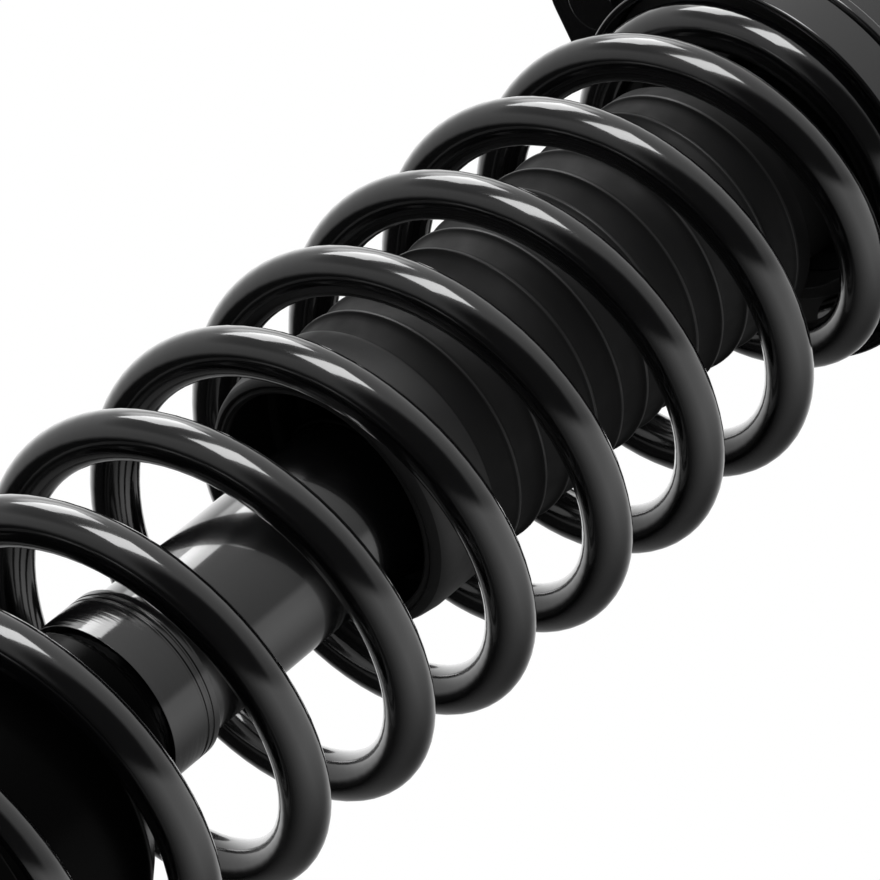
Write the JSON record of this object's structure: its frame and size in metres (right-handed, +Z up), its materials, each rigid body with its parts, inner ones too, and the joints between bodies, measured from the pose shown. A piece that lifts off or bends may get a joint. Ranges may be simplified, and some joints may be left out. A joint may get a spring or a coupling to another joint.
{
  "type": "coil-over strut",
  "caption": "Black coil-over suspension strut: gloss coil spring over a damper with a bellows dust boot, studded top mount and rubber-bushed lower eye.",
  "frame": {"origin": "centre of the lower eye's bore", "axes": "+Z up along the damper axis towards the top mount, +X along the lower eye's bore"},
  "size_m": [0.173, 0.144, 0.5874],
  "materials": {
    "black_paint": "gloss",
    "zinc_steel": "satin",
    "black_rubber": "matte",
    "foam": "matte",
    "boot_rubber": "satin",
    "hard_chrome": "polished",
    "sintered_steel": "satin",
    "ptfe": "satin",
    "spring_coat": "gloss powder coat",
    "plain_steel": "bright"
  },
  "bodies": {
    "top_mount": {"mount_plate": "black_paint", "mount_studs": "black_paint", "mount_core": "zinc_steel", "mount_rubber": "black_rubber", "rod_washer": "zinc_steel", "rod_nut": "zinc_steel", "upper_spring_seat": "black_paint", "upper_isolator": "black_rubber", "bump_stop_cup": "black_paint", "bump_stop": "foam", "dust_boot": "boot_rubber", "piston_rod": "hard_chrome", "piston": "sintered_steel", "piston_band": "ptfe", "valve_discs": "zinc_steel", "piston_nut": "zinc_steel", "rebound_stop": "zinc_steel", "rebound_buffer": "black_rubber", "coil_spring": "spring_coat"},
    "damper": {"outer_tube": "black_paint", "strike_cap": "black_paint", "rod_guide": "sintered_steel", "guide_bush": "ptfe", "rod_seal": "black_rubber", "inner_cylinder": "plain_steel", "base_valve": "sintered_steel", "seat_collar": "black_paint", "lower_spring_seat": "black_paint", "lower_isolator": "black_rubber", "base_cup": "black_paint", "lower_eye": "black_paint", "eye_bush": "black_rubber"},
    "eye_sleeve": {"eye_sleeve": "zinc_steel"}
  },
  "joints": [
    {"name": "damper_stroke", "type": "slide", "parent": "top_mount", "child": "damper", "axis": [0, 0, 1], "range_m": [0, 0.115], "stiffness_N_per_m": 30000, "springref_m": -0.03, "deforming": ["coil_spring"]},
    {"name": "eye_twist", "type": "hinge", "parent": "damper", "child": "eye_sleeve", "pos_m": [0, 0, 0], "axis": [1, 0, 0], "range_deg": [-12, 12], "stiffness_Nm_per_rad": 60}
  ]
}
